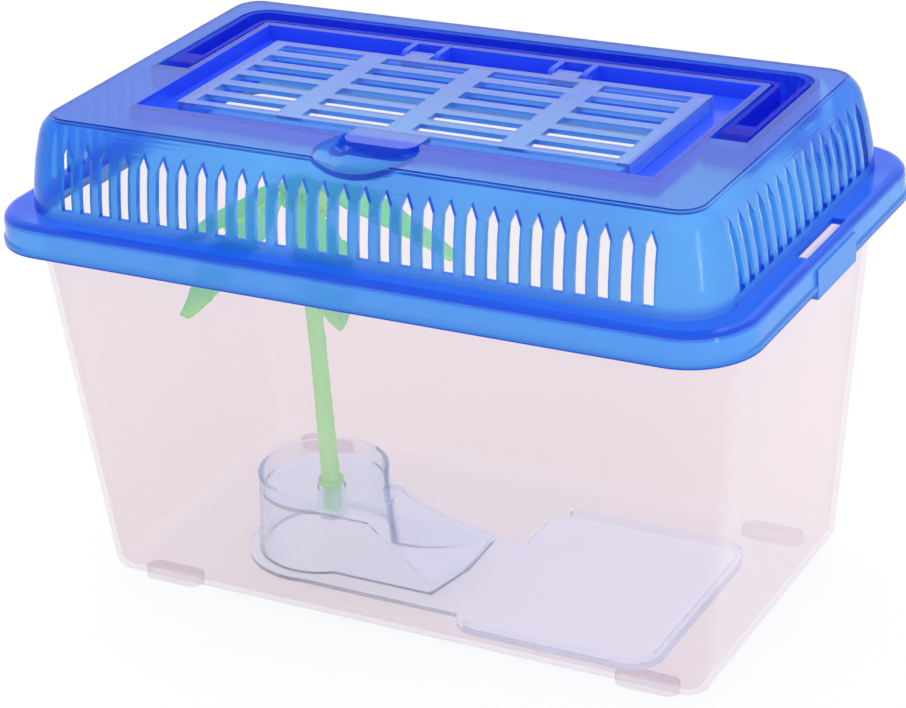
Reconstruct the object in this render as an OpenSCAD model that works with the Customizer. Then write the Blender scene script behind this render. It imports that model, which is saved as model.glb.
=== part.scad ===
// Plastic pet keeper: a clear tapered tank with a vented blue snap lid,
// a hinged feeding door, a fold-flat carry handle, a turtle island and a palm.
// Units are millimetres. The origin is the centre of the footprint, on the ground, +Z up.

/* [Tank] */
// Outside length of the tank at its floor
tank_l = 252; // [246:1:300]
// Outside width of the tank at its floor
tank_w = 136; // [132:1:180]
// Corner radius at the floor
tank_r = 9; // [7:0.5:14]
// Height from the underside of the floor to the rim
tank_h = 151.5; // [120:0.5:180]
// How far every wall leans out from floor to rim
tank_lean = 15; // [12:0.5:18]
// Wall thickness of the tank
tank_wall = 2; // [1.5:0.1:2.6]
// Thickness of the tank floor
floor_t = 2; // [1.5:0.1:4]
// Thickness of the lip around the rim
lip_t = 2.4; // [1.6:0.1:4]
// How far the lip stands out from the wall
lip_reach = 5.6; // [4:0.1:8]
// Corner radius of the lip
lip_r = 21.6; // [18:0.1:24]

/* [Feet] */
// Height of the four foot pads
foot_h = 3.5; // [2:0.5:6]
// Length of a foot pad
foot_l = 25; // [16:1:34]
// Width of a foot pad
foot_w = 9; // [6:0.5:14]
// Distance of a pad's middle from the end of the tank
foot_in_x = 25; // [20:1:60]
// Distance of a pad's middle from the side of the tank
foot_in_y = 9; // [9:0.5:20]

/* [Lid] */
// Gap between the tank lip and the skirt of the lid
skirt_gap = 1.2; // [0.8:0.1:2]
// Wall thickness of the lid
lid_wall = 2.2; // [1.8:0.1:2.4]
// Height of the skirt and flange together
skirt_h = 12; // [10:0.5:18]
// How far the foot of the dome stands back from the skirt
setback = 10.5; // [9:0.1:12]
// Height of the dome above the flange
dome_h = 35; // [33:0.5:50]
// Radius of the large arc of the dome wall
low_arc = 120; // [100:5:200]
// Radius of the small arc below the top plate
high_arc = 12.2; // [11:0.1:14]
// Corner radius of the dome at its foot
dome_r = 19.3; // [18:0.1:22]
// Gap at rest between parts that lie on one another
rest_gap = 0.3; // [0.1:0.05:0.5]

/* [Vents] */
// Width of a vent slot
vent_w = 4.5; // [3:0.1:5]
// Width of the bar between two vent slots
vent_bar = 3.74; // [3:0.01:6]
// Height of a vent slot up to its tip
vent_h = 25; // [18:0.5:25]

/* [Door] */
// Length of the feeding door
door_l = 182; // [160:1:186]
// Width of the feeding door from front edge to back edge
door_w = 71; // [66:0.5:73]
// Height of the door at its edge
door_h = 5.4; // [4.8:0.1:6]
// Thickness of the door plate and of its edge
door_t = 1.8; // [1.4:0.1:2.4]
// Length of a door slot
slot_l = 35; // [20:0.5:36]
// Width of a door slot
slot_w = 6.4; // [3:0.1:7]
// Bar between two slots of one row
slot_bar = 10; // [6:0.5:14]
// Rib between two rows of slots
slot_rib = 5; // [3:0.5:8]
// Width of the finger tab
tab_w = 29; // [20:0.5:30]
// Reach of the finger tab in front of the door
tab_l = 14; // [10:0.5:14]
// Width of the finger scoop in the top plate
scoop_w = 38; // [34:0.5:40]
// Depth of the finger scoop
scoop_depth = 7; // [5:0.5:8]
// Diameter of the door hinge stubs
hinge_pin_d = 3.2; // [2.4:0.1:3.4]
// Distance of a hinge from the middle of the door
hinge_x = 31; // [20:1:60]
// Radial clearance of pins in their bores
pin_gap = 0.1; // [0.05:0.01:0.1]

/* [Handle] */
// Width of the handle bar
bar_w = 11.4; // [9:0.1:12]
// Height of the handle bar
bar_h = 9; // [7:0.1:9.2]
// Wall of the handle channel section
bar_wall = 1.9; // [1.4:0.1:2.6]
// Diameter of the handle pivots
pivot_d = 4; // [3:0.1:4.2]
// Clearance between the handle and its channel
bar_gap = 1.3; // [0.8:0.1:1.6]

/* [Island] */
// Thickness of the base plate
plate_t = 1.8; // [1.4:0.1:3]
// Length of the tray
tray_l = 83; // [60:1:90]
// Width of the tray
tray_w = 95.5; // [80:0.5:110]
// Corner radius of the tray
tray_r = 12; // [8:0.5:20]
// Height of the tray rim above the base plate
rim_h = 3; // [1.5:0.5:5]
// Distance from the middle of the platform to the tray
island_reach = 73; // [68:1:78]
// Radius of the platform at its top
island_r = 25.5; // [22:0.5:29]
// Height of the platform above the base plate
island_h = 26; // [22:0.5:30]
// Height of the bowl rim above the platform
bowl_h = 6; // [3:0.5:8]
// Wall thickness of the island
island_wall = 2; // [1.5:0.1:2.6]
// Width of the ramp at the platform
ramp_w = 30.5; // [26:0.5:36]
// Width of the ramp at its foot
ramp_foot_w = 47; // [42:0.5:50]

/* [Palm] */
// Diameter of the palm plug
plug_d = 7.2; // [6:0.1:8]
// Depth of the socket for the plug
socket_depth = 11.5; // [8:0.5:14]
// Space between the top of the trunk and the door recess above it
palm_room = 34.6; // [33:0.1:60]
// Reach of a leaf beyond the hub
frond_l = 50; // [40:1:52]
// Widest part of a leaf
frond_w = 18; // [10:0.5:20]
// Thickness of a leaf
frond_t = 1.2; // [0.8:0.1:1.6]

/* [Hidden] */
$fn = 96;
cut = 1;
blue = [0.13, 0.40, 0.92];
clear = [0.90, 0.90, 0.95];
pale_blue = [0.72, 0.78, 0.93];
green = [0.48, 0.85, 0.48];

// Tank
tank_cx = tank_l / 2 - tank_r;
tank_cy = tank_w / 2 - tank_r;
tank_z0 = foot_h;
tank_z1 = tank_z0 + tank_h;
floor_z = tank_z0 + floor_t;
base_round = 4;
base_chamfer = 1.3;
corner_rise = 3;
lip_hx = tank_l / 2 + tank_lean + lip_reach;
lip_hy = tank_w / 2 + tank_lean + lip_reach;
floor_hx = tank_l / 2 - base_round;
floor_hy = tank_w / 2 - base_round;

// Lid outline, from the lip that it covers
lid_hx = lip_hx + skirt_gap + lid_wall;
lid_hy = lip_hy + skirt_gap + lid_wall;
lid_r = lip_r + skirt_gap + lid_wall;
lid_cx = lid_hx - lid_r;
lid_cy = lid_hy - lid_r;
seat_z = tank_z1 + rest_gap;
flange_z = seat_z + lid_wall;
skirt_z = flange_z - skirt_h;
bead_h = 2;
bead_out = 0.8;
flange_round = 3.4;

// Dome, a wall of two arcs that meet smoothly below the top plate
dome_cx = lid_hx - setback - dome_r;
dome_cy = lid_hy - setback - dome_r;
high_h = 7;
low_h = dome_h - high_h;
foot_a = 3;
meet_a = asin(low_h / low_arc + sin(foot_a));
meet_r = dome_r - low_arc * (cos(foot_a) - cos(meet_a));
top_z = flange_z + dome_h;
plate_step = 0.6;
plate_inset = 1.2;
end_a = asin((high_h - plate_step) / high_arc + sin(meet_a));
top_r = meet_r - high_arc * (cos(meet_a) - cos(end_a));
vent_rise = 3.4;
vent_tip = 5;
vent_reach = 13.3;
vent_pitch = vent_w + vent_bar;
vents_long = 2 * floor((dome_cx - vent_w / 2) / vent_pitch) + 1;
vents_short = 2 * floor((dome_cy - vent_w / 2) / vent_pitch) + 1;

// Side tongues that grip the tank lip, and the slots beside them
tongue_half = 18;
tongue_drop = 3;
tongue_t = 2.6;
tongue_out = 0.2;
tongue_top = 4;
latch_w = 5;
latch_x = lid_hx - (setback + lid_wall) / 2;

// Door and its recess
door_shift = -4.5;
door_y0 = door_shift - door_w / 2;
door_y1 = door_shift + door_w / 2;
door_sink = 0.2;
door_top = top_z - door_sink;
door_z0 = door_top - door_h;
side_gap = 12.5;
front_gap = 8;
rear_gap = 14.5;
recess_hx = door_l / 2 + side_gap;
recess_y0 = door_y0 - front_gap;
recess_y1 = door_y1 + rear_gap;
recess_floor = door_z0 - rest_gap;
box_wall = 2;
ledge = 6.5;
slot_edge = 3.5;
col_pitch = slot_l + slot_bar;
row_pitch = slot_w + slot_rib;
slot_cols = floor((door_l - 2 * slot_edge + slot_bar) / col_pitch);
slot_rows = floor((door_w - 2 * slot_edge + slot_rib) / row_pitch);
tab_t = 2.1;
tab_lip = 0.7;
tab_lip_w = 2;
tab_r = 6;
tab_tip = door_y0 - tab_l;
pocket_gap = 1;
pocket_z = door_top - tab_t - tab_lip - pocket_gap;
scoop_gap = 6;
scoop_r = (pow(scoop_w / 2, 2) + pow(scoop_depth, 2)) / (2 * scoop_depth);
scoop_y = tab_tip - scoop_gap;
scoop_z = top_z - scoop_depth + scoop_r;

// Door hinges
hinge_reach = 7;
lug_r = 3.1;
hinge_y = door_y1 + hinge_reach;
hinge_z = top_z - lug_r;
knuckle_r = 2.5;
knuckle_half = 5.2;
link_t = 4.2;
link_sink = 0.6;
cheek_gap = 0.4;
cheek_t = 2.5;
cheek_in = knuckle_half + cheek_gap;

// Handle and its channel
ridge = 3;
bar_sink = 0.2;
channel_w = bar_w + 2 * bar_gap;
channel_hx = recess_hx + ridge + channel_w;
channel_y1 = recess_y1 + ridge + channel_w;
channel_wall = 2;
channel_r = 10.3;
bar_z0 = top_z - bar_sink - bar_h;
channel_floor = bar_z0 - rest_gap;
pivot_y = -2;
pivot_z = bar_z0 + bar_h / 2;
nose_gap = 2;
channel_y0 = pivot_y - bar_h / 2 - nose_gap;
bar_hx = channel_hx - bar_gap;
bar_y1 = channel_y1 - bar_gap;
bar_r = channel_r - bar_gap;
bar_in_r = 3;
solid_end = 9;
pivot_reach = bar_gap + channel_wall - rest_gap;

// Island and base plate, placed from the front right corner of the tank floor
plate_z0 = floor_z + rest_gap;
plate_z1 = plate_z0 + plate_t;
tray_in_x = 19;
tray_in_y = 2.5;
tray_x1 = floor_hx - tray_in_x;
tray_x0 = tray_x1 - tray_l;
tray_y0 = tray_in_y - floor_hy;
tray_y1 = tray_y0 + tray_w;
rim_t = 2;
rim_sink = 0.2;
rim_start = 7;
island_x = tray_x0 - island_reach;
island_in_y = 40.5;
island_y = tray_y0 + island_in_y;
island_lean = 2;
plate_edge = 4;
bridge_front = 31;
bridge_back = 27;
bridge_lap = 20;
island_top = plate_z1 + island_h;
ramp_front = 23;
ramp_out = 2.5;
ramp_foot_gap = 12;
ramp_x0 = island_x + island_r + ramp_out;
ramp_x1 = tray_x0 - ramp_foot_gap;
ramp_lip = 1.2;
ramp_toe = 3;
ramp_crest = 4;
ramp_lap = 18;
flare_l = 30;
bowl_wall = 1.8;
trunk_in_x = 3;
trunk_x = island_x + trunk_in_x;
socket_r = plug_d / 2 + pin_gap;
boss_wall = 2;

// Palm
trunk_base = island_top + rest_gap;
trunk_top = recess_floor - box_wall - palm_room;
trunk_lean = 3.5;
bend_share = 0.53;
lean_share = 0.3;
trunk_mid = trunk_base + bend_share * (trunk_top - trunk_base);
mid_x = trunk_x - trunk_lean * lean_share;
foot_trunk_r = 3.7;
mid_trunk_r = 3.2;
knee_r = 3.5;
head_trunk_r = 3.4;
cap_r = 4;
cap_h = 3;
collar_r = 5;
collar_h = 1.6;
peg_r = 2.2;
peg_h = 6;
hub_x = trunk_x - trunk_lean;
hub_r = 7;
hub_h = 9;
hub_round = 1.5;
hub_z0 = trunk_top + rest_gap;
frond_up = 5;
frond_z = hub_z0 + frond_up;
stub_r = 1.1;
stub_l = 2.5;
stub_lap = 4;
root_drop = 15;
tip_drop = 50;
rib_h = 0.7;
rib_w = 2;
rib_share = 0.93;
frond_angles = [-112, -46, 34, 74, 114, 154, 194];
frond_bend = frond_l / (sin(tip_drop) - sin(root_drop));
leaf_steps = 14;
leaf_belly = 1.25;
leaf_blunt = 0.75;

// Block with rounded corners whose wall follows a list of [corner radius, height]
module loft(cx, cy, line) {
  n = len(line) - 1;
  right_x = [for (p = line) [cx + p[0], p[1]]];
  left_x = [for (i = [n:-1:0]) [-cx - line[i][0], line[i][1]]];
  right_y = [for (p = line) [cy + p[0], p[1]]];
  left_y = [for (i = [n:-1:0]) [-cy - line[i][0], line[i][1]]];
  side = concat([[0, line[0][1]]], line, [[0, line[n][1]]]);
  rotate([90, 0, 0])
    linear_extrude(height = 2 * cy, center = true)
      polygon(concat(right_x, left_x));
  rotate([90, 0, 90])
    linear_extrude(height = 2 * cx, center = true)
      polygon(concat(right_y, left_y));
  for (sx = [-1, 1], sy = [-1, 1])
    translate([sx * cx, sy * cy, 0])
      rotate_extrude($fn = 64)
        polygon(side);
}

// Rounded rectangle, half sizes and corner radius
module round_rect(hx, hy, r) {
  square([2 * hx, 2 * (hy - r)], center = true);
  square([2 * (hx - r), 2 * hy], center = true);
  for (sx = [-1, 1], sy = [-1, 1])
    translate([sx * (hx - r), sy * (hy - r)])
      circle(r = r, $fn = 64);
}

// Box from its two corners
module span(x0, x1, y0, y1, z0, z1) {
  translate([x0, y0, z0])
    cube([x1 - x0, y1 - y0, z1 - z0]);
}

// Round bar along X
module x_rod(x0, x1, y, z, r) {
  translate([x0, y, z])
    rotate([0, 90, 0])
      cylinder(r = r, h = x1 - x0, $fn = 48);
}

module tank() {
  color(clear)
    difference() {
      union() {
        loft(tank_cx, tank_cy, [
          [tank_r - base_round, tank_z0],
          [tank_r - base_chamfer, tank_z0 + base_chamfer],
          [tank_r, tank_z0 + base_round],
          [tank_r + tank_lean, tank_z1]
        ]);
        translate([0, 0, tank_z1 - lip_t])
          linear_extrude(height = lip_t)
            round_rect(lip_hx, lip_hy, lip_r);
      }
      loft(tank_cx, tank_cy, [
        [tank_r - base_round, floor_z],
        [tank_r - tank_wall, floor_z + corner_rise],
        [tank_r + tank_lean - tank_wall, tank_z1 + cut]
      ]);
    }
}

module foot_pad() {
  straight = foot_l - foot_w;
  linear_extrude(height = foot_h)
    square([straight, foot_w], center = true);
  for (s = [-1, 1])
    translate([s * straight / 2, 0, 0])
      cylinder(d = foot_w, h = foot_h, $fn = 48);
}

module feet() {
  color(clear)
    for (sx = [-1, 1], sy = [-1, 1])
      translate([sx * (tank_l / 2 - foot_in_x), sy * (tank_w / 2 - foot_in_y), 0])
        foot_pad();
}

// Points of the dome wall as [corner radius, height], on arcs moved in by an inset
function arc_points(r, z, from_a, to_a, steps, first, arc, inset) = [
  for (i = [first:steps])
    let (a = from_a + (to_a - from_a) * i / steps)
      [r - arc * cos(from_a) + (arc - inset) * cos(a), z - arc * sin(from_a) + (arc - inset) * sin(a)]
];

module dome_block(inset, foot_z) {
  loft(dome_cx, dome_cy, concat(
    [[dome_r - inset, foot_z]],
    arc_points(dome_r, flange_z, foot_a, meet_a, 3, 0, low_arc, inset),
    arc_points(meet_r, flange_z + low_h, meet_a, end_a, 4, 1, high_arc, inset)
  ));
}

module top_plate() {
  translate([0, 0, top_z - plate_step - cut])
    linear_extrude(height = plate_step + cut)
      round_rect(dome_cx + top_r - plate_inset, dome_cy + top_r - plate_inset, top_r - plate_inset);
}

module skirt_solid() {
  flange_r = lid_r - bead_out;
  loft(lid_cx, lid_cy, concat(
    [[lid_r, skirt_z], [lid_r, skirt_z + bead_h], [flange_r, skirt_z + bead_h + bead_out]],
    [for (a = [0:30:90]) [
      flange_r - flange_round * (1 - cos(a)),
      flange_z - flange_round * (1 - sin(a))
    ]]
  ));
}

module skirt_hollow() {
  translate([0, 0, skirt_z - cut])
    linear_extrude(height = seat_z - skirt_z + cut)
      round_rect(lid_hx - lid_wall, lid_hy - lid_wall, lid_r - lid_wall);
}

// One vent slot standing on the XZ plane, cutting along Y
module vent_cut() {
  rotate([90, 0, 0])
    linear_extrude(height = 2 * vent_reach, center = true)
      polygon([
        [-vent_w / 2, 0],
        [vent_w / 2, 0],
        [vent_w / 2, vent_h - vent_tip],
        [0, vent_h],
        [-vent_w / 2, vent_h - vent_tip]
      ]);
}

module vents() {
  for (s = [-1, 1]) {
    for (i = [0:vents_long - 1])
      translate([(i - (vents_long - 1) / 2) * vent_pitch, s * (dome_cy + dome_r), flange_z + vent_rise])
        vent_cut();
    for (i = [0:vents_short - 1])
      translate([s * (dome_cx + dome_r), (i - (vents_short - 1) / 2) * vent_pitch, flange_z + vent_rise])
        rotate([0, 0, 90])
          vent_cut();
  }
}

// Plan of the folded handle: two legs joined by a bar with rounded rear corners
module bail_plan(hx, y0, y1, width, r, r_in) {
  difference() {
    union() {
      translate([-hx, y0])
        square([2 * hx, y1 - r - y0]);
      translate([r - hx, y0])
        square([2 * (hx - r), y1 - y0]);
      for (s = [-1, 1])
        translate([s * (hx - r), y1 - r])
          circle(r = r, $fn = 64);
    }
    translate([width - hx, y0 - cut])
      square([2 * (hx - width), y1 - width - r_in - y0 + cut]);
    translate([width + r_in - hx, y0 - cut])
      square([2 * (hx - width - r_in), y1 - width - y0 + cut]);
    for (s = [-1, 1])
      translate([s * (hx - width - r_in), y1 - width - r_in])
        circle(r = r_in, $fn = 48);
  }
}

module scoop_ball(r) {
  translate([0, scoop_y, scoop_z])
    sphere(r = r, $fn = 90);
}

module tongues() {
  z0 = skirt_z - tongue_drop;
  for (s = [-1, 1])
    translate([s * (lid_hx + tongue_out - tongue_t / 2), 0, (z0 + flange_z - tongue_top) / 2])
      cube([tongue_t, 2 * tongue_half, flange_z - tongue_top - z0], center = true);
}

// Trays that hang below the top plate round the door, the handle and the finger tab
module trays() {
  roof = top_z - plate_step - cut / 2;
  span(-recess_hx - box_wall, recess_hx + box_wall, recess_y0 - box_wall, recess_y1 + box_wall,
    recess_floor - box_wall, roof);
  translate([0, 0, channel_floor - channel_wall])
    linear_extrude(height = roof - channel_floor + channel_wall)
      bail_plan(channel_hx + channel_wall, channel_y0 - channel_wall, channel_y1 + channel_wall,
        channel_w + 2 * channel_wall, channel_r + channel_wall, 1);
  intersection() {
    scoop_ball(scoop_r + box_wall);
    dome_block(0, flange_z);
  }
  span(-tab_w / 2 - pocket_gap - box_wall, tab_w / 2 + pocket_gap + box_wall,
    tab_tip - pocket_gap - box_wall, recess_y0 + cut, pocket_z - box_wall, roof);
}

module tray_hollows() {
  span(-recess_hx, recess_hx, recess_y0, recess_y1, recess_floor, top_z + cut);
  span(ledge - door_l / 2, door_l / 2 - ledge, door_y0 + ledge, door_y1 - ledge,
    recess_floor - box_wall - cut, recess_floor + cut);
  translate([0, 0, channel_floor])
    linear_extrude(height = top_z - channel_floor + cut)
      bail_plan(channel_hx, channel_y0, channel_y1, channel_w, channel_r, 1.5);
  scoop_ball(scoop_r);
  span(-tab_w / 2 - pocket_gap, tab_w / 2 + pocket_gap, tab_tip - pocket_gap, recess_y0 + cut,
    pocket_z, top_z + cut);
}

module lid_shell() {
  difference() {
    union() {
      difference() {
        union() {
          skirt_solid();
          dome_block(0, flange_z - cut);
          top_plate();
          tongues();
        }
        skirt_hollow();
        dome_block(lid_wall, seat_z - cut);
      }
      trays();
    }
    tray_hollows();
    vents();
    for (s = [-1, 1]) {
      translate([s * latch_x, 0, flange_z])
        cube([latch_w, 2 * tongue_half, skirt_h], center = true);
      x_rod(s * (channel_hx + channel_wall / 2) - channel_wall, s * (channel_hx + channel_wall / 2) + channel_wall,
        pivot_y, pivot_z, pivot_d / 2 + pin_gap);
    }
  }
}

module cheek(x0) {
  x1 = x0 + cheek_t;
  x_rod(x0, x1, hinge_y, hinge_z, lug_r);
  span(x0, x1, hinge_y, recess_y1 + cut, recess_floor - cut, hinge_z + lug_r);
  span(x0, x1, hinge_y - lug_r, hinge_y, recess_floor - cut, hinge_z);
}

module lid() {
  bore_end = hinge_x + cheek_in + cheek_t + cut;
  color(blue) {
    lid_shell();
    difference() {
      for (s = [-1, 1]) {
        cheek(s * hinge_x + cheek_in);
        cheek(s * hinge_x - cheek_in - cheek_t);
      }
      x_rod(-bore_end, bore_end, hinge_y, hinge_z, hinge_pin_d / 2 + pin_gap);
    }
  }
}

module door_slots() {
  grid_l = slot_cols * col_pitch - slot_bar;
  grid_w = slot_rows * row_pitch - slot_rib;
  for (c = [0:slot_cols - 1], r = [0:slot_rows - 1])
    translate([c * col_pitch - grid_l / 2, door_shift - grid_w / 2 + r * row_pitch, door_z0])
      cube([slot_l, slot_w, door_h + cut]);
}

module door_tab() {
  translate([0, 0, door_top - tab_t])
    linear_extrude(height = tab_t) {
      translate([-tab_w / 2, tab_tip + tab_r])
        square([tab_w, tab_l - tab_r + door_t]);
      translate([tab_r - tab_w / 2, tab_tip])
        square([tab_w - 2 * tab_r, tab_l]);
      for (s = [-1, 1])
        translate([s * (tab_w / 2 - tab_r), tab_tip + tab_r])
          circle(r = tab_r, $fn = 48);
    }
  span(tab_r - tab_w / 2, tab_w / 2 - tab_r, tab_tip, tab_tip + tab_lip_w,
    door_top - tab_t - tab_lip, door_top - tab_t + cut);
}

module door() {
  link_top = door_top - link_sink;
  pin_half = cheek_in + cheek_t;
  color(blue) {
    difference() {
      span(-door_l / 2, door_l / 2, door_y0, door_y1, door_z0, door_top);
      span(door_t - door_l / 2, door_l / 2 - door_t, door_y0 + door_t, door_y1 - door_t,
        door_z0 - cut, door_top - door_t);
      door_slots();
    }
    door_tab();
    for (s = [-1, 1]) {
      x = s * hinge_x;
      span(x - knuckle_half, x + knuckle_half, door_y1 - door_t, hinge_y, link_top - link_t, link_top);
      x_rod(x - knuckle_half, x + knuckle_half, hinge_y, hinge_z, knuckle_r);
      x_rod(x - pin_half, x + pin_half, hinge_y, hinge_z, hinge_pin_d / 2);
    }
  }
}

module handle() {
  color(blue) {
    intersection() {
      difference() {
        translate([0, 0, bar_z0])
          linear_extrude(height = bar_h)
            bail_plan(bar_hx, pivot_y - bar_h, bar_y1, bar_w, bar_r, bar_in_r);
        // Hollow of the channel section, open at the top
        translate([0, 0, bar_z0 + bar_wall])
          linear_extrude(height = bar_h)
            bail_plan(bar_hx - bar_wall, pivot_y + solid_end, bar_y1 - bar_wall, bar_w - 2 * bar_wall,
              bar_r - bar_wall, bar_in_r + bar_wall);
      }
      union() {
        x_rod(-bar_hx - cut, bar_hx + cut, pivot_y, pivot_z, bar_h / 2);
        span(-bar_hx - cut, bar_hx + cut, pivot_y, bar_y1 + cut, bar_z0 - cut, bar_z0 + bar_h + cut);
      }
    }
    for (m = [0, 1])
      mirror([m, 0, 0])
        x_rod(bar_hx - cut, bar_hx + pivot_reach, pivot_y, pivot_z, pivot_d / 2);
  }
}

module tray_plan(inset) {
  translate([(tray_x0 + tray_x1) / 2, (tray_y0 + tray_y1) / 2])
    round_rect(tray_l / 2 - inset, tray_w / 2 - inset, tray_r - inset);
}

module insert_plate() {
  color(pale_blue) {
    translate([0, 0, plate_z0])
      linear_extrude(height = plate_t) {
        translate([island_x, island_y])
          circle(r = island_r + island_lean + plate_edge);
        translate([island_x, island_y - bridge_front])
          square([island_reach + bridge_lap, bridge_front + bridge_back]);
        tray_plan(0);
      }
    translate([0, 0, plate_z1 - rim_sink])
      linear_extrude(height = rim_h + rim_sink)
        difference() {
          tray_plan(0);
          tray_plan(rim_t);
          translate([tray_x0 - cut, tray_y0 - cut])
            square([cut + rim_start, tray_w + 2 * cut]);
        }
  }
}

// Plan of the ramp, flaring at the back towards its foot
module ramp_plan(inset) {
  front = island_y - ramp_front + inset;
  back = front + ramp_w - 2 * inset;
  flare = ramp_foot_w - ramp_w;
  foot_x = ramp_x1 - inset;
  polygon(concat(
    [[ramp_x0 - ramp_lap, back], [ramp_x0 - ramp_lap, front], [foot_x - ramp_toe, front]],
    [[foot_x + ramp_toe / 2, island_y]],
    [for (i = [6:-1:0]) [foot_x - flare_l * (1 - i / 6), back + flare * pow(i / 6, 2)]]
  ));
}

// Side of the ramp, a wedge from the platform down to the base plate
module ramp_side(drop) {
  under = drop > 0 ? cut : 0;
  toe_x = ramp_x1 + ramp_toe - 2 * drop;
  rotate([90, 0, 0])
    linear_extrude(height = tank_w, center = true)
      polygon([
        [ramp_x0 - ramp_lap, plate_z1 - under],
        [toe_x, plate_z1 - under],
        [toe_x, plate_z1 + ramp_lip * (1 - under)],
        [ramp_x0 + ramp_crest - drop / 2, island_top - drop],
        [ramp_x0 - ramp_lap, island_top - drop]
      ]);
}

module ramp_block(wall) {
  intersection() {
    ramp_side(wall);
    linear_extrude(height = island_top + cut)
      ramp_plan(wall);
  }
}

module platform(wall) {
  top = island_r - wall;
  translate([island_x, island_y, plate_z1 - (wall > 0 ? cut : 0)])
    cylinder(r1 = top + island_lean, r2 = top, h = island_h - wall + (wall > 0 ? cut : 0));
}

// Rim that makes a bowl of the platform, open where the ramp comes up
module bowl_rim() {
  difference() {
    translate([island_x, island_y, island_top - cut])
      cylinder(r = island_r, h = bowl_h + cut);
    translate([island_x, island_y, island_top - 2 * cut])
      cylinder(r = island_r - bowl_wall, h = bowl_h + 3 * cut);
    translate([island_x, island_y - ramp_front, island_top - 2 * cut])
      cube([2 * island_r, ramp_w, bowl_h + 3 * cut]);
  }
}

module island() {
  boss_h = socket_depth + boss_wall;
  color(pale_blue)
    difference() {
      union() {
        difference() {
          union() {
            platform(0);
            ramp_block(0);
          }
          platform(island_wall);
          ramp_block(island_wall);
        }
        bowl_rim();
        translate([trunk_x, island_y, island_top - boss_h])
          cylinder(r = socket_r + boss_wall, h = boss_h);
      }
      translate([trunk_x, island_y, island_top - socket_depth])
        cylinder(r = socket_r, h = socket_depth + cut);
    }
}

// One stretch of the trunk, leaning towards -X by a distance
module trunk_part(x, z0, z1, lean, r0, r1) {
  tilt = atan(lean / (z1 - z0));
  translate([x, island_y, z0])
    rotate([0, -tilt, 0])
      cylinder(r1 = r0, r2 = r1, h = (z1 - z0) / cos(tilt));
}

module palm_trunk() {
  color(green) {
    translate([trunk_x, island_y, island_top - socket_depth + rest_gap])
      cylinder(d = plug_d, h = socket_depth + cut);
    translate([trunk_x, island_y, trunk_base])
      cylinder(r = collar_r, h = collar_h);
    trunk_part(trunk_x, trunk_base, trunk_mid, trunk_x - mid_x, foot_trunk_r, mid_trunk_r);
    translate([mid_x, island_y, trunk_mid])
      sphere(r = knee_r);
    trunk_part(mid_x, trunk_mid, trunk_top - cut, mid_x - hub_x, mid_trunk_r, head_trunk_r);
    translate([hub_x, island_y, trunk_top - cap_h])
      cylinder(r = cap_r, h = cap_h);
    translate([hub_x, island_y, trunk_top - cut])
      cylinder(r = peg_r, h = peg_h + cut);
  }
}

module palm_hub() {
  color(green)
    translate([hub_x, island_y, hub_z0])
      difference() {
        union() {
          cylinder(r = hub_r, h = hub_h - hub_round);
          translate([0, 0, hub_h - hub_round])
            cylinder(r1 = hub_r, r2 = hub_r - hub_round, h = hub_round);
        }
        translate([0, 0, -cut])
          cylinder(r = peg_r + pin_gap, h = peg_h + cut);
        for (a = frond_angles)
          rotate([0, 0, a])
            translate([hub_r - stub_l - rest_gap, 0, frond_z - hub_z0])
              rotate([0, 90, 0])
                cylinder(r = stub_r + pin_gap, h = stub_l + cut, $fn = 32);
      }
}

// Slice of a sheet bent round Y, from its inside radius to its outside radius
module bent_sheet(r_in, r_out, width) {
  rotate([90, 0, 0])
    difference() {
      cylinder(r = r_out, h = width, center = true);
      cylinder(r = r_in, h = width + cut, center = true);
    }
}

// Half width of a leaf at a share of its length
function leaf_side(t) = frond_w / 2 * pow(sin(180 * pow(t, leaf_belly)), leaf_blunt);

// Plan of a leaf, widest past its middle and blunt at the tip
module leaf_plan() {
  polygon(concat(
    [for (i = [0:leaf_steps]) [frond_l * i / leaf_steps, leaf_side(i / leaf_steps)]],
    [for (i = [leaf_steps - 1:-1:1]) [frond_l * i / leaf_steps, -leaf_side(i / leaf_steps)]]
  ));
}

// A drooping leaf with a midrib and a stub for the hub
module frond(a) {
  root = hub_r + rest_gap;
  sheet_in = frond_bend - frond_t / 2;
  sheet_out = frond_bend + frond_t / 2;
  middle = [root - frond_bend * sin(root_drop), 0, -frond_bend * cos(root_drop)];
  color(green)
    translate([hub_x, island_y, frond_z])
      rotate([0, 0, a]) {
        intersection() {
          translate(middle)
            bent_sheet(sheet_in, sheet_out, frond_w + cut);
          translate([root, 0, -frond_l])
            linear_extrude(height = 2 * frond_l)
              leaf_plan();
        }
        intersection() {
          translate(middle)
            bent_sheet(sheet_in, sheet_out + rib_h, rib_w);
          span(root, root + frond_l * rib_share, -rib_w, rib_w, -frond_l, frond_l);
        }
        translate([hub_r - stub_l, 0, 0])
          rotate([0, 90, 0])
            cylinder(r = stub_r, h = stub_l + stub_lap, $fn = 32);
      }
}

module frond_1() {
  frond(frond_angles[0]);
}

module frond_2() {
  frond(frond_angles[1]);
}

module frond_3() {
  frond(frond_angles[2]);
}

module frond_4() {
  frond(frond_angles[3]);
}

module frond_5() {
  frond(frond_angles[4]);
}

module frond_6() {
  frond(frond_angles[5]);
}

module frond_7() {
  frond(frond_angles[6]);
}

tank();
feet();
lid();
door();
handle();
insert_plate();
island();
palm_trunk();
palm_hub();
frond_1();
frond_2();
frond_3();
frond_4();
frond_5();
frond_6();
frond_7();
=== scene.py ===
import math

import bmesh
import bpy
from mathutils import Matrix, Vector


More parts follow.
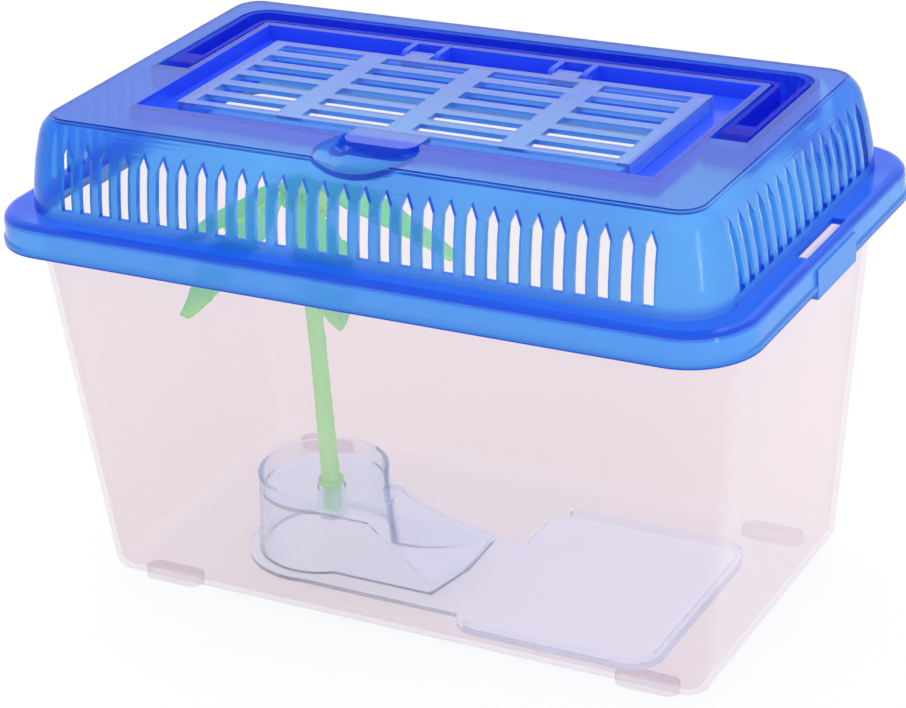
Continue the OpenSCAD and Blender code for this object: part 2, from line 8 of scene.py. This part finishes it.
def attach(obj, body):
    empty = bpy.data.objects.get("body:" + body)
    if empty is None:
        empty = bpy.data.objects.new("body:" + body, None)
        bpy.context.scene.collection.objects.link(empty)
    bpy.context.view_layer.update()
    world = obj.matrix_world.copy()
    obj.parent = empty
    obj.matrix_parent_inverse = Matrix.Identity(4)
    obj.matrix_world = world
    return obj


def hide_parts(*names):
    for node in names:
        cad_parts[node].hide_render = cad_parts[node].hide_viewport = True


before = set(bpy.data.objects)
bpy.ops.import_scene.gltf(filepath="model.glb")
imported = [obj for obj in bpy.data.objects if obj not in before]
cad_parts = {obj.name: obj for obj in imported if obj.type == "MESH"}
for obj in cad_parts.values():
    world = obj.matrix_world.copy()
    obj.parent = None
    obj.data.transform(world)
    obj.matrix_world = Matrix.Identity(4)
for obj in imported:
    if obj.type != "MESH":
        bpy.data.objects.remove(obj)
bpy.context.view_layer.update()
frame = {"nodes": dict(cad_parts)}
scene = bpy.context.scene
scene.view_settings.view_transform = "Standard"
print("frame loaded:", ", ".join(frame["nodes"]))


def rgb(r, g, b):  # a colour as it is read off a screen, 0 to 255
    return [((c / 255 + 0.055) / 1.055) ** 2.4 if c > 10 else c / 255 / 12.92 for c in (r, g, b)] + [1]


cameraSet = dict(
    place=(0.4716, -0.8411, 0.5429),
    yaw=29.5,      # degrees round from the front
    pitch=25.24,   # degrees above the horizon
    roll=-3.46,
    lens=112.04, sensor=36,
    near=0.02, far=40,
)


def makeCamera(s):
    data = bpy.data.cameras.new("photoCamera")
    data.lens, data.sensor_width = s["lens"], s["sensor"]
    data.clip_start, data.clip_end = s["near"], s["far"]
    yaw, pitch, roll = (math.radians(s[k]) for k in ("yaw", "pitch", "roll"))
    back = Vector((math.sin(yaw) * math.cos(pitch), -math.cos(yaw) * math.cos(pitch), math.sin(pitch)))
    right = Vector((math.cos(yaw), math.sin(yaw), 0))
    up = back.cross(right)
    x = math.cos(roll) * right + math.sin(roll) * up
    y = -math.sin(roll) * right + math.cos(roll) * up
    turn = Matrix((x, y, back)).transposed().to_4x4()
    camera = bpy.data.objects.new("photoCamera", data)
    camera.matrix_world = Matrix.Translation(s["place"]) @ turn
    scene.collection.objects.link(camera)
    scene.camera = camera


makeCamera(cameraSet)
print("camera set")


class Board:  # a small hand for wiring one node tree
    def __init__(self, tree):
        self.tree = tree

    def add(self, kind, x, y, sockets=None, **props):
        node = self.tree.nodes.new(kind)
        node.location = (x, y)
        for name, value in props.items():
            setattr(node, name, value)
        for name, value in (sockets or {}).items():
            self.put(node, name, value)
        return node

    def put(self, node, name, value):  # a link where the value is another node's socket
        socket = node.inputs[name]
        if isinstance(value, bpy.types.NodeSocket):
            self.tree.links.new(value, socket)
        else:
            socket.default_value = value

    def group(self, tree, x, y, sockets):
        return self.add("ShaderNodeGroup", x, y, sockets, node_tree=tree).outputs

    def calc(self, operation, x, y, *values):
        return self.add("ShaderNodeMath", x, y, dict(enumerate(values)), operation=operation).outputs[0]

    def ramp(self, x, y, value, start=0.0, full=1.0, low=0.0, high=1.0):
        return self.add("ShaderNodeMapRange", x, y, {
            "Value": value, "From Min": start, "From Max": full, "To Min": low, "To Max": high,
        }).outputs["Result"]

    def mixColour(self, x, y, share, first, second):
        return self.add("ShaderNodeMix", x, y, {0: share, 6: first, 7: second}, data_type="RGBA").outputs[2]

    def mixShader(self, x, y, share, first, second):
        return self.add("ShaderNodeMixShader", x, y, {
            0: share, 1: first.outputs[0], 2: second.outputs[0]})


def newGroup(name, inputs, outputs):
    tree = bpy.data.node_groups.new(name, "ShaderNodeTree")
    for label, kind, value in inputs:
        socket = tree.interface.new_socket(label, in_out="INPUT", socket_type="NodeSocket" + kind)
        socket.default_value = value
    for label, kind in outputs:
        tree.interface.new_socket(label, in_out="OUTPUT", socket_type="NodeSocket" + kind)
    board = Board(tree)
    taken = board.add("NodeGroupInput", -900, 0).outputs
    given = board.add("NodeGroupOutput", 700, 0)
    return tree, board, taken, given


def newMaterial(name):
    material = bpy.data.materials.new(name)
    material.use_nodes = True
    material.node_tree.nodes.clear()
    return material, Board(material.node_tree)


polishSet = dict(rubSize=28.0, rubStart=0.5, rubFull=0.75, grainShare=0.12)
flowSet = dict(stretch=(1.0, 1.0, 0.35), wander=0.6, start=0.35, full=0.65)


def makePolishGroup(s):  # the mould's polish with its faint ripple, and rubbed patches
    tree, b, taken, given = newGroup("mouldPolish", [
        ("Ripple Size", "Float", 60.0), ("Grain Size", "Float", 900.0),
        ("Smooth", "Float", 0.04), ("Rubbed", "Float", 0.12),
    ], [("Roughness", "Float"), ("Height", "Float")])
    place = b.add("ShaderNodeTexCoord", -1100, 200).outputs["Object"]
    ripple = b.add("ShaderNodeTexNoise", -600, 300, {
        "Vector": place, "Scale": taken["Ripple Size"], "Detail": 1.0}).outputs["Fac"]
    grain = b.add("ShaderNodeTexNoise", -600, 60, {
        "Vector": place, "Scale": taken["Grain Size"], "Detail": 2.0}).outputs["Fac"]
    rub = b.add("ShaderNodeTexNoise", -600, -200, {
        "Vector": place, "Scale": s["rubSize"], "Detail": 5.0, "Roughness": 0.7}).outputs["Fac"]
    patch = b.ramp(-350, -200, rub, s["rubStart"], s["rubFull"])
    small = b.calc("MULTIPLY", -350, 60, grain, s["grainShare"])
    b.put(given, "Roughness", b.ramp(-100, -200, patch, low=taken["Smooth"], high=taken["Rubbed"]))
    b.put(given, "Height", b.calc("ADD", -100, 200, ripple, small))
    return tree


def makeFlowGroup(s):  # where the melt ran: streaks that are a little paler or deeper
    tree, b, taken, given = newGroup("meltFlow", [
        ("Pale", "Color", (1, 1, 1, 1)), ("Deep", "Color", (0.5, 0.5, 0.5, 1)),
        ("Streak Size", "Float", 14.0),
    ], [("Color", "Color")])
    place = b.add("ShaderNodeTexCoord", -1100, 200).outputs["Object"]
    pull = b.add("ShaderNodeMapping", -850, 260, {"Vector": place, "Scale": s["stretch"]})
    streak = b.add("ShaderNodeTexNoise", -600, 260, {
        "Vector": pull.outputs["Vector"], "Scale": taken["Streak Size"], "Detail": 3.0,
        "Distortion": s["wander"]})
    even = b.ramp(-350, 260, streak.outputs["Fac"], s["start"], s["full"])
    b.put(given, "Color", b.mixColour(-100, 200, even, taken["Pale"], taken["Deep"]))
    return tree


def makePaintedFlatLightGroup():  # painted reflection and shade: faces that lie flat get another colour than the walls, mostly darker and greyer, for how the light from above reflects on them
    tree, b, taken, given = newGroup("paintedFlatLight", [
        ("Color", "Color", (1, 1, 1, 1)), ("Flat Color", "Color", (0.5, 0.5, 0.5, 1)),
        ("Start", "Float", 0.75), ("Full", "Float", 0.98),
    ], [("Color", "Color")])
    facing = b.add("ShaderNodeNewGeometry", -1100, 200).outputs["Normal"]
    parts = b.add("ShaderNodeSeparateXYZ", -850, 200, {"Vector": facing})
    lying = b.ramp(-600, 200, parts.outputs["Z"], taken["Start"], taken["Full"])
    b.put(given, "Color", b.mixColour(-100, 200, lying, taken["Color"], taken["Flat Color"]))
    return tree


mouldPolish = makePolishGroup(polishSet)
paintedFlatLight = makePaintedFlatLightGroup()
meltFlow = makeFlowGroup(flowSet)


def polishNodes(b, s):  # what every plastic here starts with: its gloss, and its streaks of colour
    polish = b.group(mouldPolish, -900, -100, {
        "Ripple Size": s["rippleSize"], "Grain Size": s["grainSize"],
        "Smooth": s["smooth"], "Rubbed": s["rubbed"]})
    flow = b.group(meltFlow, -900, 250, {
        "Pale": s["pale"], "Deep": s["deep"], "Streak Size": s["streakSize"]})
    bump = b.add("ShaderNodeBump", -550, -250, {
        "Height": polish["Height"], "Strength": s["bump"], "Distance": s["bumpDepth"]})
    gloss = {"Roughness": polish["Roughness"], "Normal": bump.outputs["Normal"], "IOR": s["ior"]}
    return gloss, flow["Color"]


def hazeShare(b, s, x, y):  # more haze where a wall is seen along its face
    facing = b.add("ShaderNodeLayerWeight", x, y, {"Blend": 0.5}).outputs["Facing"]
    rim = b.calc("POWER", x + 200, y, facing, s["rimPower"])
    return b.ramp(x + 400, y, rim, low=s["haze"], high=s["rimHaze"])


def insideBox(b, box, soft, x, y):  # 1 inside a box of the frame, fading out over the soft width
    place = b.add("ShaderNodeTexCoord", x, y).outputs["Object"]
    parts = b.add("ShaderNodeSeparateXYZ", x + 200, y, {"Vector": place}).outputs
    total = None
    for n, (axis, (low, high)) in enumerate(zip("XYZ", box)):
        rowY = y - 160 * n
        half = (high - low) / 2
        off = b.calc("ADD", x + 400, rowY, parts[axis], -(low + high) / 2)
        away = b.calc("ABSOLUTE", x + 600, rowY, off)
        share = b.ramp(x + 800, rowY, away, half, half + soft, 1.0, 0.0)
        total = share if total is None else b.calc("MULTIPLY", x + 1000, rowY, total, share)
    return total


def setOutput(b, surface, volume=None):
    out = b.add("ShaderNodeOutputMaterial", 400, 200, {"Surface": surface.outputs[0]})
    if volume is not None:
        b.put(out, "Volume", volume.outputs["Volume"])


def tintedPlastic(name, s):  # solid clear plastic that gets deeper in colour with its thickness; listed places get more haze and painted shade
    material, b = newMaterial(name)
    gloss, flow = polishNodes(b, s)
    body = b.add("ShaderNodeBsdfPrincipled", -400, 300, {
        **gloss, "Base Color": s["glassy"], "Transmission Weight": 1.0,
        "Coat Weight": s["coat"], "Coat Roughness": s["coatRough"]})
    # flat faces take a painted colour for the reflection and shade on them
    colour = b.group(paintedFlatLight, -650, 500, {"Color": flow, "Flat Color": s["top"]})["Color"]
    share = hazeShare(b, s, -1100, 950)
    for n, place in enumerate(s["thick"]):   # places given more haze and another colour; most of them are painted shade
        mask = insideBox(b, place["box"], place["soft"], -2600, 600 * n)
        more = b.calc("MULTIPLY", -500, 900 + 200 * n, mask, place["extra"])
        share = b.calc("ADD", -300, 900 + 200 * n, share, more)
        colour = b.mixColour(-500, 500 + 200 * n, mask, colour, place["shade"])
    cloud = b.add("ShaderNodeBsdfPrincipled", -400, -50, {**gloss, "Base Color": colour})
    skin = b.mixShader(-100, 200, share, body, cloud)
    passing = b.add("ShaderNodeBsdfTransparent", -100, -200, {"Color": s["lampsThrough"]})
    path = b.add("ShaderNodeLightPath", -100, 550).outputs
    lit = b.mixShader(200, 200, path["Is Shadow Ray"], skin, passing)   # lamps light what is inside
    depth = b.add("ShaderNodeVolumeAbsorption", -100, -350, {
        "Color": s["tint"], "Density": s["tintDensity"]})
    setOutput(b, lit, depth)
    return material


def milkyPlastic(name, s):  # a see-through sheet with a little haze, and gloss at its edges
    material, b = newMaterial(name)
    gloss, flow = polishNodes(b, s)
    skin = b.add("ShaderNodeBsdfPrincipled", -250, -50, {**gloss, "Base Color": flow})
    clear = b.add("ShaderNodeBsdfTransparent", -250, 150, {"Color": s["through"]})
    path = b.add("ShaderNodeLightPath", -700, 800).outputs
    shadow = b.ramp(-500, 800, path["Is Shadow Ray"], low=1.0, high=s["shadowShare"])
    share = b.calc("MULTIPLY", -250, 600, hazeShare(b, s, -900, 550), shadow)   # lamps get in past the haze
    setOutput(b, b.mixShader(50, 150, share, clear, skin))
    return material


def leafPlastic(name, s):  # soft green plastic that lets some light through
    material, b = newMaterial(name)
    gloss, flow = polishNodes(b, s)
    skin = b.add("ShaderNodeBsdfPrincipled", -250, 100, {**gloss, "Base Color": flow})
    glow = b.add("ShaderNodeBsdfTranslucent", -250, -150, {"Color": s["glow"]})
    setOutput(b, b.mixShader(50, 100, s["through"], skin, glow))
    return material


wide = (-0.2, 0.2)   # past both sides of the object
# a painted dark line of shade along the skirt's lower edge
paintedSkirtFootShade = dict(soft=0.0004, extra=0.55, shade=rgb(26, 74, 196))
blueSet = dict(
    pale=rgb(76, 164, 244), deep=rgb(22, 100, 218), top=rgb(84, 114, 204), streakSize=16.0,
    rippleSize=70.0, grainSize=1100.0, smooth=0.16, rubbed=0.28, bump=0.12, bumpDepth=0.0004,
    ior=1.27, glassy=rgb(188, 234, 254), haze=0.26, rimHaze=0.32, rimPower=3.0,
    coat=0.08, coatRough=0.03,
    lampsThrough=rgb(246, 250, 255), tint=(0.02, 0.66, 0.95, 1), tintDensity=440.0,
    thick=(
        dict(box=((-0.1037, 0.1037), (-0.0482, 0.0457), (0.184, 0.194)),   # the door's recess: painted shade, a deeper blue in it
             soft=0.0004, extra=0.52, shade=rgb(52, 88, 244)),
        dict(box=(wide, wide, (0.1555, 0.1592)),   # foot of the dome: painted shade, a deeper band where it meets the flange
             soft=0.003, extra=0.18, shade=rgb(32, 98, 232)),
        dict(box=(wide, wide, (0.13, 0.1545)),   # skirt over the tank's lip
             soft=0.001, extra=0.3, shade=rgb(76, 154, 238)),
        dict(paintedSkirtFootShade, box=(wide, (-0.2, -0.0185), (0.145, 0.146))),   # painted shade: a dark line along the foot of the skirt, in front
        dict(paintedSkirtFootShade, box=(wide, (0.0185, 0.2), (0.145, 0.146))),   # and behind the side tongues
    ),
)
# the door is the lid's blue plastic made paler: painted light, for the light from above that its slats catch
doorPaintedLightSet = dict(
    blueSet, pale=rgb(138, 176, 238), deep=rgb(98, 144, 226), top=rgb(132, 160, 220),
    ior=1.4, haze=0.34, rimHaze=0.4,
    thick=(
        dict(box=((-0.03, 0.03), (-0.07, -0.0478), (0.18, 0.2)),   # finger tab: painted shade, deep blue over the tab
             soft=0.0015, extra=0.45, shade=rgb(40, 76, 216)),
    ),
)
handleSet = dict(
    pale=rgb(48, 66, 230), deep=rgb(34, 52, 216), top=rgb(28, 42, 204), streakSize=12.0,
    rippleSize=70.0, grainSize=1100.0, smooth=0.2, rubbed=0.32, bump=0.12, bumpDepth=0.0004,
    ior=1.1, glassy=rgb(150, 176, 252), haze=0.42, rimHaze=0.46, rimPower=3.0,
    coat=0.0, coatRough=0.03,
    lampsThrough=rgb(240, 244, 255), tint=(0.02, 0.3, 0.9, 1), tintDensity=420.0, thick=(),
)
tankSet = dict(
    pale=rgb(246, 238, 240), deep=rgb(238, 230, 236), streakSize=8.0,
    rippleSize=40.0, grainSize=1100.0, smooth=0.06, rubbed=0.14, bump=0.08, bumpDepth=0.0003,
    ior=1.46, through=rgb(250, 246, 247),
    haze=0.055, rimHaze=0.75, rimPower=4.0, shadowShare=0.3,
)
feetSet = dict(
    pale=rgb(238, 230, 236), deep=rgb(224, 216, 224), streakSize=30.0,
    rippleSize=80.0, grainSize=1100.0, smooth=0.1, rubbed=0.22, bump=0.1, bumpDepth=0.0003,
    ior=1.46, through=rgb(248, 244, 247),
    haze=0.16, rimHaze=0.6, rimPower=3.0, shadowShare=1.0,
)
islandSet = dict(
    pale=rgb(230, 238, 252), deep=rgb(216, 228, 246), top=rgb(230, 240, 250), streakSize=20.0,
    rippleSize=90.0, grainSize=1100.0, smooth=0.16, rubbed=0.26, bump=0.1, bumpDepth=0.0003,
    ior=1.12, glassy=rgb(253, 253, 255), haze=0.045, rimHaze=0.7, rimPower=3.0,
    coat=0.2, coatRough=0.04,
    lampsThrough=rgb(253, 253, 255), tint=(0.2, 0.6, 0.9, 1), tintDensity=14.0, thick=(),
)
greenSet = dict(
    pale=rgb(218, 255, 204), deep=rgb(190, 254, 182), streakSize=60.0,
    rippleSize=160.0, grainSize=1500.0, smooth=0.34, rubbed=0.5, bump=0.25, bumpDepth=0.0004,
    ior=1.5, through=0.45, glow=rgb(216, 255, 206),
)
bluePlastic = tintedPlastic("bluePlastic", blueSet)
doorPaintedLightPlastic = tintedPlastic("doorPaintedLightPlastic", doorPaintedLightSet)
handlePlastic = tintedPlastic("handlePlastic", handleSet)
tankPlastic = milkyPlastic("tankPlastic", tankSet)
feetPlastic = milkyPlastic("feetPlastic", feetSet)
islandPlastic = tintedPlastic("islandPlastic", islandSet)
leafGreen = leafPlastic("leafGreen", greenSet)

nodePlastic = dict(
    tank=tankPlastic, feet=feetPlastic, lid=bluePlastic, door=doorPaintedLightPlastic, handle=handlePlastic,
    insert_plate=islandPlastic, island=islandPlastic, palm_trunk=leafGreen, palm_hub=leafGreen,
)
for node, plastic in nodePlastic.items():
    for materialSlot in frame["nodes"][node].material_slots:
        materialSlot.material = plastic
print("plastics made")


leafSet = dict(
    hub=(-0.0535, -0.021, 0.1553), hubRadius=0.007, gap=0.0003,
    turns=(-112, -46, 34, 74, 114, 154, 194),   # degrees round the hub, frond_1 to frond_7
    length=0.050, rootDrop=15, tipDrop=50,      # the leaf bends from one slope to the other
    width=0.0225, belly=1.25, blunt=0.72, tipShare=0.9995, leastHalf=0.0003,
    thick=0.0011, edgeThick=0.0005,
    notches=7, notchDepth=0.12, notchShift=0.12, notchRoot=6, notchTip=8,
    crown=0.0034, crownPower=1.4, crownRoot=5,
    veinDepth=0.00028, veinSlant=1.3, veinMid=4, veinRoot=6,
    midrib=0.0005, midribFade=0.8,
    steps=56, lanes=6,
    stalkRings=((-0.0028, 0.96), (0, 1), (0.0024, 0.9), (0.004, 0.55)),   # place along it, share of radius
    stalkRadius=0.0011, stalkSides=16, stalkDroop=0.2,
)


def upTo(value, rate):  # 0 at the start, 1 from one over the rate onward
    return min(1, rate * value)


def leafSide(bm, s, side, seed):  # one side of the leaf: a row of points for each step along it
    rootSine = math.sin(math.radians(s["rootDrop"]))
    rootCosine = math.cos(math.radians(s["rootDrop"]))
    bend = s["length"] / (math.sin(math.radians(s["tipDrop"])) - rootSine)
    rows = []
    for i in range(s["steps"] + 1):
        t = i / s["steps"]
        angle = math.asin(rootSine + t * s["length"] / bend)
        out = s["hubRadius"] + s["gap"] + t * s["length"]
        mid = Vector((out, 0, bend * (math.cos(angle) - rootCosine)))
        normal = Vector((math.sin(angle), 0, math.cos(angle)))
        half = s["width"] / 2 * math.sin(math.pi * min(t, s["tipShare"]) ** s["belly"]) ** s["blunt"]
        saw = (t * s["notches"] + s["notchShift"] * math.sin(seed)) % 1.0
        half *= 1 - s["notchDepth"] * saw * upTo(t, s["notchRoot"]) * upTo(1 - t, s["notchTip"])
        half = max(half, s["leastHalf"])
        row = []
        for k in range(-s["lanes"], s["lanes"] + 1):
            u = k / s["lanes"]
            fold = -s["crown"] * abs(u) ** s["crownPower"] * upTo(t, s["crownRoot"])   # both halves fall away
            sweep = (t * s["notches"] * 2 - abs(u) * s["veinSlant"]) * math.tau
            vein = s["veinDepth"] * math.sin(sweep) * (1 - abs(u))
            vein = vein * upTo(abs(u), s["veinMid"]) * upTo(t, s["veinRoot"])
            thick = s["edgeThick"] + (s["thick"] - s["edgeThick"]) * (1 - u * u)
            lift = fold + vein + side * thick / 2
            if side > 0 and k == 0:
                lift += s["midrib"] * (1 - s["midribFade"] * t)
            row.append(bm.verts.new(mid + Vector((0, u * half, 0)) + normal * lift))
        rows.append(row)
    return rows


def leafStalk(bm, s):
    root = s["hubRadius"] + s["gap"]
    sides = s["stalkSides"]
    turns = [math.tau * n / sides for n in range(sides)]
    rings = []
    for x, share in s["stalkRings"]:
        r = share * s["stalkRadius"]
        droop = s["stalkDroop"] * max(x, 0)
        rings.append([bm.verts.new((root + x, r * math.cos(a), r * math.sin(a) - droop)) for a in turns])
    for low, high in zip(rings, rings[1:]):
        for n in range(sides):
            following = (n + 1) % sides
            bm.faces.new((low[n], low[following], high[following], high[n]))
    bm.faces.new(rings[0][::-1])
    bm.faces.new(rings[-1])


def leafMesh(s, seed):
    bm = bmesh.new()
    upper, under = (leafSide(bm, s, side, seed) for side in (1, -1))
    last = 2 * s["lanes"]
    for i in range(s["steps"]):
        for k in range(last):
            bm.faces.new((upper[i][k], upper[i + 1][k], upper[i + 1][k + 1], upper[i][k + 1]))
            bm.faces.new((under[i][k], under[i][k + 1], under[i + 1][k + 1], under[i + 1][k]))
        for k in (0, last):
            face = (upper[i][k], under[i][k], under[i + 1][k], upper[i + 1][k])
            bm.faces.new(face if k == 0 else face[::-1])
    for i in (0, s["steps"]):
        for k in range(last):
            face = (upper[i][k], upper[i][k + 1], under[i][k + 1], under[i][k])
            bm.faces.new(face if i == 0 else face[::-1])
    leafStalk(bm, s)
    bmesh.ops.recalc_face_normals(bm, faces=bm.faces)
    for face in bm.faces:
        face.smooth = True
    return bm


for number, turn in enumerate(leafSet["turns"], 1):
    bm = leafMesh(leafSet, number)
    spot = Matrix.Translation(leafSet["hub"]) @ Matrix.Rotation(math.radians(turn), 4, "Z")
    bmesh.ops.transform(bm, matrix=spot, verts=bm.verts)
    mesh = bpy.data.meshes.new("palmLeaf%d" % number)
    bm.to_mesh(mesh)
    bm.free()
    mesh.materials.append(leafGreen)
    leaf = bpy.data.objects.new("palmLeaf%d" % number, mesh)
    scene.collection.objects.link(leaf)
    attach(leaf, "palm")
    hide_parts("frond_%d" % number)
print("palm leaves made")


floorSet = dict(size=3.0, tone=0.9, whiteShare=0.85)
skySet = dict(low=0.95, high=1.15, lowZ=-0.1, highZ=0.7)
lampSet = dict(
    topBox=dict(place=(-0.3, 0.5, 1.8), aim=(0, 0, 0.1), size=(1.2, 1.2), power=9),
    cornerStrip=dict(place=(1.04, -0.59, 0.28), aim=(0, 0, 0.17), size=(0.05, 0.5), power=1.8),
)


def seenRays(b, x, y):   # 1 for what the camera sees, straight or in clear plastic and gloss
    path = b.add("ShaderNodeLightPath", x, y).outputs
    total = path["Is Camera Ray"]
    for n, kind in enumerate(("Is Transmission Ray", "Is Glossy Ray"), 1):
        total = b.calc("MAXIMUM", x + 200 * n, y, total, path[kind])
    return total


def makeFloor(s):
    mesh = bpy.data.meshes.new("floor")
    bm = bmesh.new()
    bmesh.ops.create_grid(bm, x_segments=2, y_segments=2, size=s["size"])
    bm.to_mesh(mesh)
    bm.free()
    floor = bpy.data.objects.new("floor", mesh)
    scene.collection.objects.link(floor)
    material, b = newMaterial("whiteFloor")
    share = b.calc("MULTIPLY", -450, 200, seenRays(b, -900, 200), s["whiteShare"])
    paper = b.add("ShaderNodeBsdfDiffuse", -450, 0, {"Color": (s["tone"],) * 3 + (1,)})
    white = b.add("ShaderNodeEmission", -450, -200, {"Color": (1, 1, 1, 1), "Strength": 1.0})
    setOutput(b, b.mixShader(-150, 100, share, paper, white))
    mesh.materials.append(material)


def makeWorld(s):
    world = bpy.data.worlds.new("studio")
    scene.world = world
    world.use_nodes = True
    world.node_tree.nodes.clear()
    b = Board(world.node_tree)
    way = b.add("ShaderNodeTexCoord", -1300, 0).outputs["Generated"]
    parts = b.add("ShaderNodeSeparateXYZ", -1100, 0, {"Vector": way})
    rise = b.ramp(-850, 0, parts.outputs["Z"], s["lowZ"], s["highZ"], s["low"], s["high"])
    level = b.add("ShaderNodeMix", -450, 150, {
        0: seenRays(b, -900, 300), 2: rise, 3: 1.0}, data_type="FLOAT")   # plain white where it is seen
    light = b.add("ShaderNodeBackground", -200, 150, {"Color": (1, 1, 1, 1), "Strength": level.outputs[0]})
    b.add("ShaderNodeOutputWorld", 50, 150, {"Surface": light.outputs[0]})


def makeLamp(name, place, aim, size, power):
    data = bpy.data.lights.new(name, "AREA")
    data.shape, data.size, data.size_y, data.energy = "RECTANGLE", size[0], size[1], power
    lamp = bpy.data.objects.new(name, data)
    lamp.location = place
    lamp.rotation_mode = "QUATERNION"
    lamp.rotation_quaternion = (Vector(aim) - Vector(place)).to_track_quat("-Z", "Y")
    scene.collection.objects.link(lamp)


makeFloor(floorSet)
makeWorld(skySet)
for name, lamp in lampSet.items():
    makeLamp(name, **lamp)
print("stage and lamps set")
